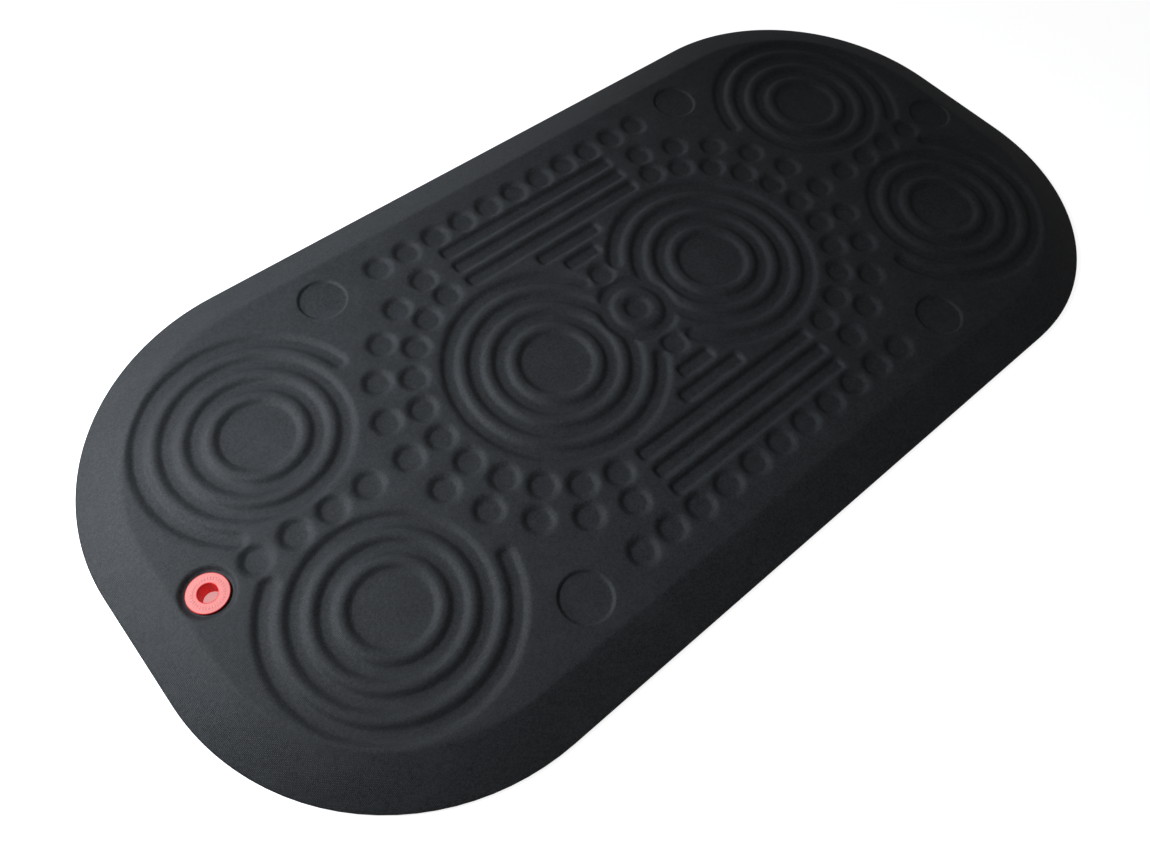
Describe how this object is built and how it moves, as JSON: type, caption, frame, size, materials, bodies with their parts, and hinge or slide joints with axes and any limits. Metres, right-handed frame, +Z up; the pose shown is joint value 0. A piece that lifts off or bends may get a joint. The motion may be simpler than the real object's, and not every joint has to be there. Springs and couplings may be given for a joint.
{
  "type": "anti fatigue mat",
  "caption": "Rectangular foam standing mat with rounded corners, a bevelled edge, a knit cover debossed with rings, dots and bars, and a red hanging eyelet.",
  "frame": {"origin": "middle of the underside, on the surface that the mat lies on", "axes": "+X along the mat's length, away from the end with the eyelet; +Y across its width; +Z up out of the patterned face"},
  "size_m": [0.99, 0.508, 0.018],
  "materials": {
    "core_foam": "matt closed-cell foam",
    "cover_knit": "fine charcoal knit, matt with a slight sheen",
    "base_rubber": "matt, finely ribbed",
    "eyelet_plastic": "satin moulded plastic"
  },
  "bodies": {
    "root": {"foam_core": "core_foam", "top_cover": "cover_knit", "base_sheet": "base_rubber", "eyelet_body": "eyelet_plastic", "eyelet_lock_ring": "eyelet_plastic"}
  },
  "joints": []
}
